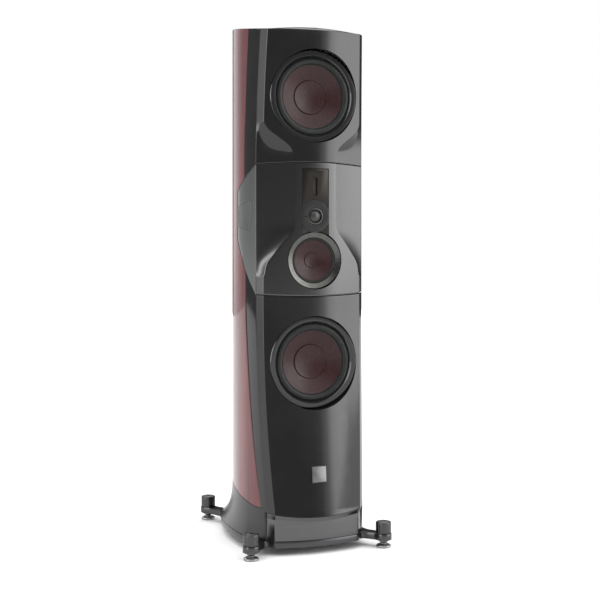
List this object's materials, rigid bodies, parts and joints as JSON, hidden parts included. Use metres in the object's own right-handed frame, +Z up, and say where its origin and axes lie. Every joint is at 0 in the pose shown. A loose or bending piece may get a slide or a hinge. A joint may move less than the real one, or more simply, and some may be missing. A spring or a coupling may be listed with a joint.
{
  "type": "floorstanding loudspeaker",
  "caption": "Tall three-way floorstanding loudspeaker with bowed side walls, a cast middle module for the tweeters and midrange, and outrigger feet with height knobs.",
  "frame": {"origin": "on the floor, under the middle of the overall box", "axes": "+Z up, the drivers face -Y, +X to the right seen from the front"},
  "size_m": [0.495, 0.62, 1.6749],
  "materials": {
    "lacquered_veneer": "high gloss lacquer over dark red stained veneer",
    "black_lacquer": "polished black lacquer",
    "cast_satin_black": "satin black coated casting",
    "panel_board": "raw fibreboard",
    "cast_inner": "rough cast",
    "satin_grey": "satin grey coated casting",
    "skirt_black": "satin black moulding",
    "base_aluminium": "satin black coated plate",
    "steel": "zinc plated",
    "ring_gloss": "gloss black ring",
    "ring_satin": "brushed satin grey",
    "basket_cast": "black coated casting",
    "motor_steel": "dark ferrite and plated steel",
    "surround_rubber": "matt rubber",
    "fibre_cone": "pressed wood-fibre pulp, dark red brown",
    "copper": "enamelled copper wire",
    "dome_cloth": "coated woven cloth",
    "ribbon_film": "thin film with conductor tracks",
    "badge_black": "gloss black frame",
    "badge_metal": "brushed plate, left blank",
    "crossover_parts": "circuit board with coils and capacitors",
    "port_plastic": "moulded black",
    "terminal_metal": "black anodised",
    "terminal_brass": "gold plated",
    "foot_steel": "dark satin steel",
    "knob_black": "satin black anodised"
  },
  "bodies": {
    "cabinet": {"side_panel_left": "lacquered_veneer", "side_panel_right": "lacquered_veneer", "upper_baffle": "black_lacquer", "mid_module": "cast_satin_black", "mid_module_wings": "cast_satin_black", "wing_covers": "cast_satin_black", "lower_baffle": "black_lacquer", "top_panel": "black_lacquer", "back_panel": "black_lacquer", "bottom_panel": "panel_board", "braces": "panel_board", "mid_enclosure": "cast_inner", "plinth_front": "satin_grey", "plinth_skirt": "skirt_black", "base_plate": "base_aluminium", "base_bolts": "steel", "upper_woofer_ring": "ring_gloss", "upper_woofer_basket": "basket_cast", "upper_woofer_motor": "motor_steel", "upper_woofer_suspension": "surround_rubber", "lower_woofer_ring": "ring_gloss", "lower_woofer_basket": "basket_cast", "lower_woofer_motor": "motor_steel", "lower_woofer_suspension": "surround_rubber", "midrange_ring": "ring_satin", "midrange_basket": "basket_cast", "midrange_motor": "motor_steel", "midrange_suspension": "surround_rubber", "tweeter_plate": "cast_satin_black", "dome_plate": "cast_satin_black", "dome_motor": "motor_steel", "ribbon_motor": "motor_steel", "badge_frame": "badge_black", "badge_plate": "badge_metal", "crossover": "crossover_parts", "port_tubes": "port_plastic", "terminal_plate": "terminal_metal", "terminal_posts": "terminal_brass"},
    "upper_woofer_moving": {"upper_woofer_cone": "fibre_cone", "upper_woofer_dust_cap": "fibre_cone", "upper_woofer_coil": "copper"},
    "lower_woofer_moving": {"lower_woofer_cone": "fibre_cone", "lower_woofer_dust_cap": "fibre_cone", "lower_woofer_coil": "copper"},
    "midrange_moving": {"midrange_cone": "fibre_cone", "midrange_coil": "copper"},
    "dome_moving": {"dome": "dome_cloth"},
    "ribbon_moving": {"ribbon": "ribbon_film"},
    "foot_front_left_body": {"foot_front_left": "foot_steel"},
    "knob_front_left_body": {"knob_front_left": "knob_black"},
    "foot_front_right_body": {"foot_front_right": "foot_steel"},
    "knob_front_right_body": {"knob_front_right": "knob_black"},
    "foot_rear_left_body": {"foot_rear_left": "foot_steel"},
    "knob_rear_left_body": {"knob_rear_left": "knob_black"},
    "foot_rear_right_body": {"foot_rear_right": "foot_steel"},
    "knob_rear_right_body": {"knob_rear_right": "knob_black"},
    "terminal_nut_1_body": {"terminal_nut_1": "terminal_brass"},
    "terminal_nut_2_body": {"terminal_nut_2": "terminal_brass"},
    "terminal_nut_3_body": {"terminal_nut_3": "terminal_brass"},
    "terminal_nut_4_body": {"terminal_nut_4": "terminal_brass"}
  },
  "joints": [
    {"name": "upper_woofer_travel", "type": "slide", "parent": "cabinet", "child": "upper_woofer_moving", "axis": [0, -1, 0], "range_m": [-0.01, 0.01], "stiffness_N_per_m": 1500, "deforming": ["upper_woofer_suspension"]},
    {"name": "lower_woofer_travel", "type": "slide", "parent": "cabinet", "child": "lower_woofer_moving", "axis": [0, -1, 0], "range_m": [-0.01, 0.01], "stiffness_N_per_m": 1500, "deforming": ["lower_woofer_suspension"]},
    {"name": "midrange_travel", "type": "slide", "parent": "cabinet", "child": "midrange_moving", "axis": [0, -1, 0], "range_m": [-0.004, 0.004], "stiffness_N_per_m": 600, "deforming": ["midrange_suspension"]},
    {"name": "dome_travel", "type": "slide", "parent": "cabinet", "child": "dome_moving", "axis": [0, -1, 0], "range_m": [-0.0005, 0.0005], "stiffness_N_per_m": 50},
    {"name": "ribbon_travel", "type": "slide", "parent": "cabinet", "child": "ribbon_moving", "axis": [0, -1, 0], "range_m": [-0.0003, 0.0003], "stiffness_N_per_m": 20},
    {"name": "knob_front_left_turn", "type": "hinge", "parent": "cabinet", "child": "knob_front_left_body", "pos_m": [-0.221, -0.2835, 0.062], "axis": [0, 0, 1], "range_deg": [0, 3600]},
    {"name": "foot_front_left_height", "type": "slide", "parent": "cabinet", "child": "foot_front_left_body", "axis": [0, 0, -1], "range_m": [0, 0.015]},
    {"name": "knob_front_right_turn", "type": "hinge", "parent": "cabinet", "child": "knob_front_right_body", "pos_m": [0.221, -0.2835, 0.062], "axis": [0, 0, 1], "range_deg": [0, 3600]},
    {"name": "foot_front_right_height", "type": "slide", "parent": "cabinet", "child": "foot_front_right_body", "axis": [0, 0, -1], "range_m": [0, 0.015]},
    {"name": "knob_rear_left_turn", "type": "hinge", "parent": "cabinet", "child": "knob_rear_left_body", "pos_m": [-0.184, 0.2835, 0.062], "axis": [0, 0, 1], "range_deg": [0, 3600]},
    {"name": "foot_rear_left_height", "type": "slide", "parent": "cabinet", "child": "foot_rear_left_body", "axis": [0, 0, -1], "range_m": [0, 0.015]},
    {"name": "knob_rear_right_turn", "type": "hinge", "parent": "cabinet", "child": "knob_rear_right_body", "pos_m": [0.184, 0.2835, 0.062], "axis": [0, 0, 1], "range_deg": [0, 3600]},
    {"name": "foot_rear_right_height", "type": "slide", "parent": "cabinet", "child": "foot_rear_right_body", "axis": [0, 0, -1], "range_m": [0, 0.015]},
    {"name": "terminal_nut_1_turn", "type": "hinge", "parent": "cabinet", "child": "terminal_nut_1_body", "pos_m": [-0.019, 0.213, 0.266], "axis": [0, 1, 0], "range_deg": [0, 1440]},
    {"name": "terminal_nut_2_turn", "type": "hinge", "parent": "cabinet", "child": "terminal_nut_2_body", "pos_m": [0.019, 0.213, 0.266], "axis": [0, 1, 0], "range_deg": [0, 1440]},
    {"name": "terminal_nut_3_turn", "type": "hinge", "parent": "cabinet", "child": "terminal_nut_3_body", "pos_m": [-0.019, 0.213, 0.31], "axis": [0, 1, 0], "range_deg": [0, 1440]},
    {"name": "terminal_nut_4_turn", "type": "hinge", "parent": "cabinet", "child": "terminal_nut_4_body", "pos_m": [0.019, 0.213, 0.31], "axis": [0, 1, 0], "range_deg": [0, 1440]}
  ],
  "couplings": [
    {"joint": "foot_front_left_height", "follows": "knob_front_left_turn", "m_per_rad": 0.00023873},
    {"joint": "foot_front_right_height", "follows": "knob_front_right_turn", "m_per_rad": 0.00023873},
    {"joint": "foot_rear_left_height", "follows": "knob_rear_left_turn", "m_per_rad": 0.00023873},
    {"joint": "foot_rear_right_height", "follows": "knob_rear_right_turn", "m_per_rad": 0.00023873}
  ]
}
